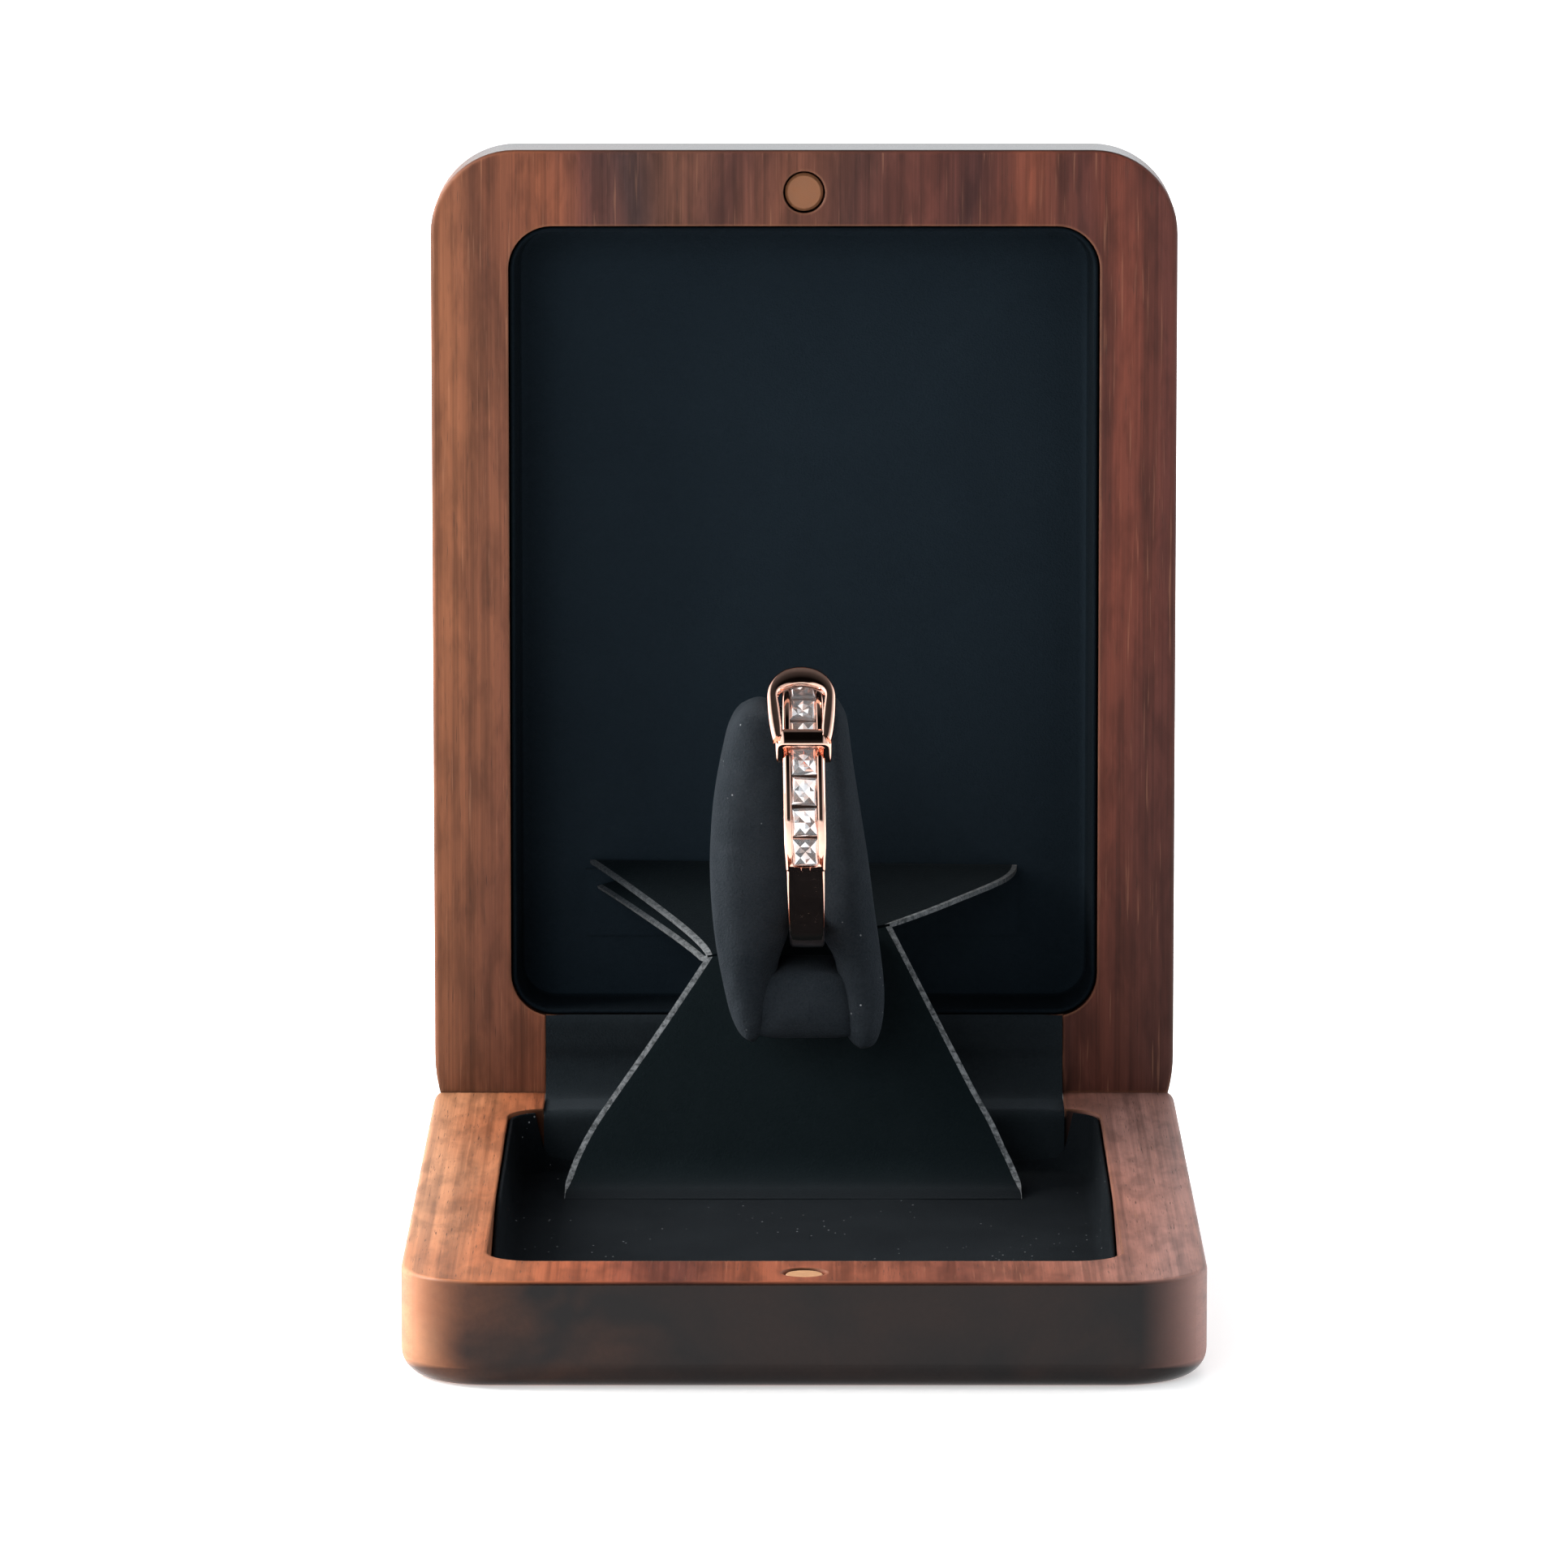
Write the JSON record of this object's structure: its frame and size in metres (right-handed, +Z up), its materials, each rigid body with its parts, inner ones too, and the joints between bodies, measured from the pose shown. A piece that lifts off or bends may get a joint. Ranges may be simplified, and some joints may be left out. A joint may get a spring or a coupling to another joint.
{
  "type": "ring box",
  "caption": "Slim folding wooden ring box, open at a right angle, with a suede pop-up card and slit cushion that present a ring upright.",
  "frame": {"origin": "centre of the base's underside", "axes": "+X to the right seen from the front, +Y from the front edge to the hinge, +Z up, lid open at a right angle"},
  "size_m": [0.055, 0.0781, 0.0778],
  "materials": {
    "walnut": "oiled, satin, open grain",
    "suede": "short-nap suede, matte",
    "suede_card": "suede-faced card with pale cut edges",
    "cushion_suede": "brushed suede over foam, matte",
    "magnet_plating": "copper-coloured plating",
    "rivet_brass": "plain",
    "rose_gold": "high polish, rose gold colour",
    "clear_stone": "faceted, clear"
  },
  "bodies": {
    "base": {"base_tray": "walnut", "base_floor_lining": "suede", "base_left_lining": "suede", "base_right_lining": "suede", "base_rear_lining": "suede", "base_magnet": "magnet_plating", "base_hinge_strip": "suede", "lower_glue_flap": "suede_card"},
    "lid": {"lid_tray": "walnut", "lid_lining": "suede", "lid_magnet": "magnet_plating", "lid_hinge_strip": "suede", "upper_glue_flap": "suede_card"},
    "lower_fold": {"lower_panel": "suede_card"},
    "upper_fold": {"upper_panel": "suede_card", "upper_side_ply": "suede_card", "waist_tongue": "suede_card", "turning_rivet": "rivet_brass"},
    "cushion": {"cushion_backing": "suede_card", "cushion_left_pad": "cushion_suede", "cushion_right_pad": "cushion_suede", "cushion_lower_pad": "cushion_suede"},
    "ring": {"ring_shank": "rose_gold", "ring_belt": "rose_gold", "ring_buckle": "rose_gold", "ring_keeper": "rose_gold", "ring_stones": "clear_stone"}
  },
  "joints": [
    {"name": "lid_hinge", "type": "hinge", "parent": "base", "child": "lid", "pos_m": [0, 0.03522, 0.00743], "axis": [1, 0, 0], "range_deg": [0, 90]},
    {"name": "foot_fold", "type": "hinge", "parent": "base", "child": "lower_fold", "pos_m": [0, 0.0212, 0.0034], "axis": [1, 0, 0], "range_deg": [0, 90]},
    {"name": "head_fold", "type": "hinge", "parent": "lid", "child": "upper_fold", "pos_m": [0, 0.0404, 0.0241], "axis": [1, 0, 0], "range_deg": [-90, 0]},
    {"name": "cushion_tip", "type": "hinge", "parent": "upper_fold", "child": "cushion", "pos_m": [0.003, 0.02355, 0.0225], "axis": [0, -1, 0], "range_deg": [0, 90]},
    {"name": "ring_slide", "type": "slide", "parent": "cushion", "child": "ring", "axis": [0, -1, 0], "range_m": [0, 0.0075]}
  ],
  "couplings": [
    {"joint": "foot_fold", "follows": "lid_hinge", "ratio": 1},
    {"joint": "head_fold", "follows": "lid_hinge", "ratio": -1},
    {"joint": "cushion_tip", "follows": "lid_hinge", "ratio": 1}
  ]
}
